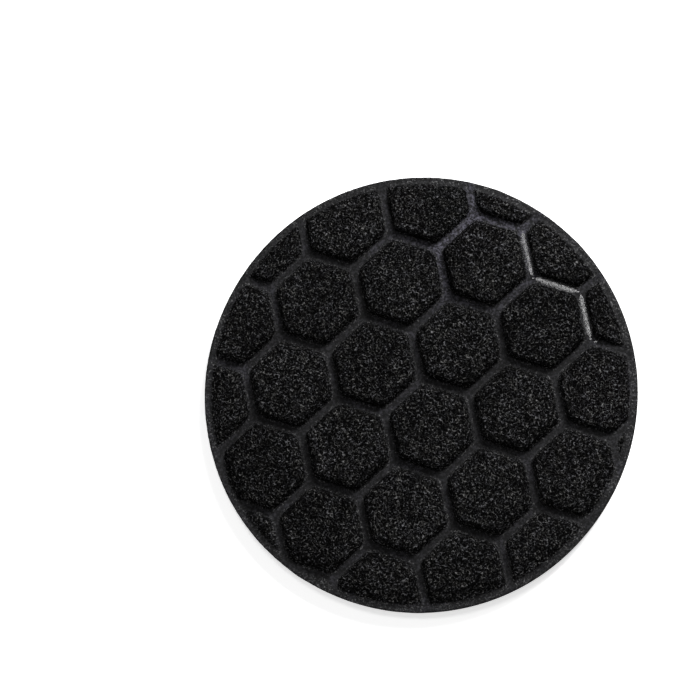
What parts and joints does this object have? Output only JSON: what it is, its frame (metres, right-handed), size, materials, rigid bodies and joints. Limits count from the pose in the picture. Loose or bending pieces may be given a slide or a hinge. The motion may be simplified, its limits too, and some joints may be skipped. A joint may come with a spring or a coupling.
{
  "type": "polishing pad",
  "caption": "Round two-sided black foam pad with a hexagon-embossed coarse working face, a plain fine-celled back and a thin heat-sealed rim.",
  "frame": {"origin": "centre of the pad, on the plane of its plain back face, on which it lies", "axes": "+Z out of the hexagon-embossed working face; X along a row of hexagons, square to two flat sides of each hexagon"},
  "size_m": [0.114, 0.114, 0.01],
  "materials": {
    "coarse_foam": "matte",
    "fine_foam": "matte",
    "hot_melt_film": "satin",
    "sealed_edge": "satin"
  },
  "bodies": {
    "root": {"face_foam": "coarse_foam", "bond_film": "hot_melt_film", "back_foam": "fine_foam", "edge_bead": "sealed_edge"}
  },
  "joints": []
}
